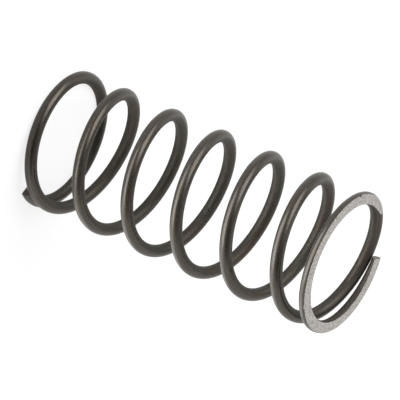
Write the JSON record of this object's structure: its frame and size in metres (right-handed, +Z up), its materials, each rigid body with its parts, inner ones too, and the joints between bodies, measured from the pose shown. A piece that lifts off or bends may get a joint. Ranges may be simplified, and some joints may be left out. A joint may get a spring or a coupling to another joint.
{
  "type": "compression spring",
  "caption": "Small open-coil compression spring of round steel wire, wound right-handed, with closed and flat-ground ends.",
  "frame": {"origin": "on the coil's axis, in the plane of the lower ground face that the spring stands on", "axes": "+Z up the coil's axis; +X through the lower tip of the wire"},
  "size_m": [0.0114, 0.0117, 0.0269],
  "materials": {
    "spring_steel": "dark satin drawn wire, with bright ground end faces"
  },
  "bodies": {
    "root": {"coil_spring": "spring_steel"}
  },
  "joints": []
}
